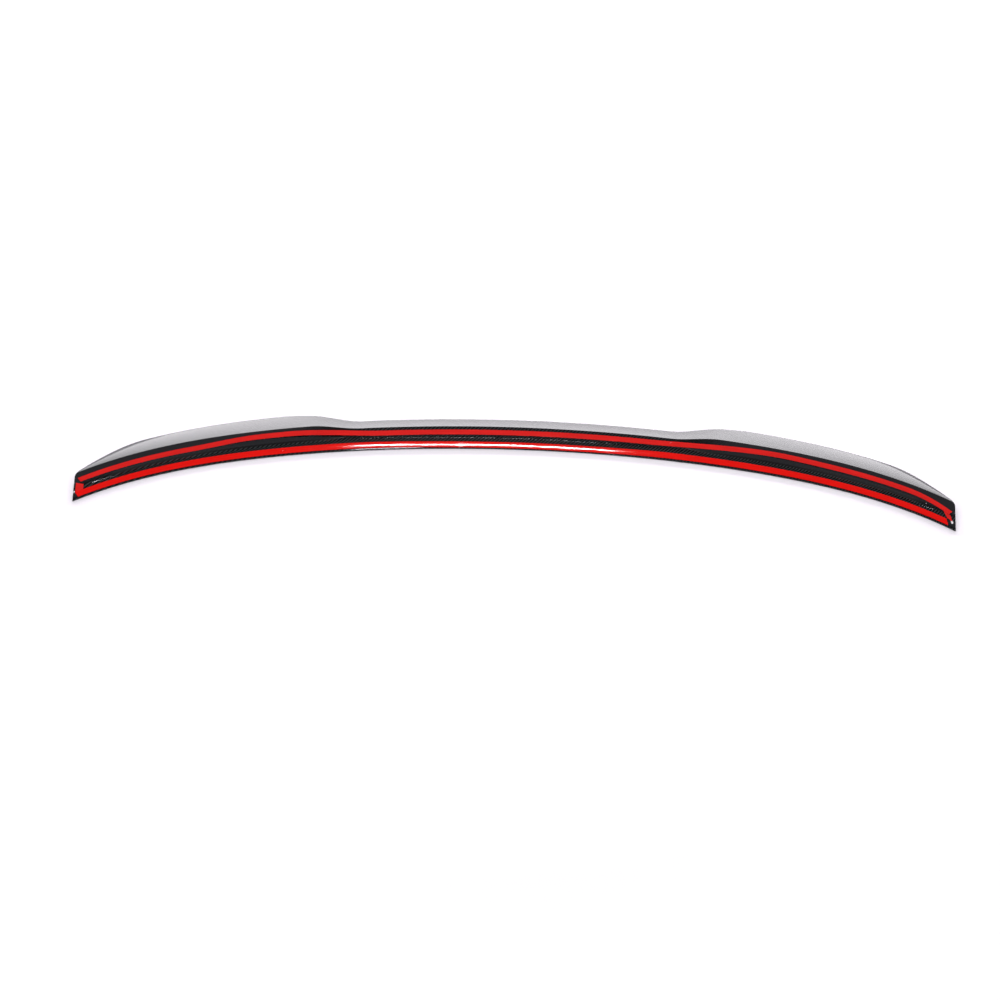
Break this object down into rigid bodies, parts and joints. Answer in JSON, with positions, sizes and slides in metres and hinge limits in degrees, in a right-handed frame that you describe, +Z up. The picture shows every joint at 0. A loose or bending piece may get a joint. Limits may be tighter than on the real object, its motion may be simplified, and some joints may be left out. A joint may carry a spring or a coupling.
{
  "type": "car rear spoiler",
  "caption": "Bowed boot-lid lip spoiler in gloss carbon fibre, lying upside down, with foam mounting tape and red release liner still on.",
  "frame": {"origin": "middle of the bottom of the bounding box, on the surface that the upside-down spoiler lies on", "axes": "+X along the spoiler to its right tip as seen from the front edge, +Y from the front edge to the lip (rearward on the car), +Z up as it lies, so out of the taped base"},
  "size_m": [1.18, 0.1587, 0.0151],
  "materials": {
    "carbon_fibre": "twill carbon fibre under clear gloss lacquer",
    "tape_foam": "matt closed-cell acrylic foam",
    "release_liner": "smooth glossy red film"
  },
  "bodies": {
    "root": {"spoiler_shell": "carbon_fibre", "front_tape_foam": "tape_foam", "front_tape_liner": "release_liner", "rear_tape_foam": "tape_foam", "rear_tape_liner": "release_liner", "left_end_tape_foam": "tape_foam", "left_end_tape_liner": "release_liner", "right_end_tape_foam": "tape_foam", "right_end_tape_liner": "release_liner"}
  },
  "joints": []
}
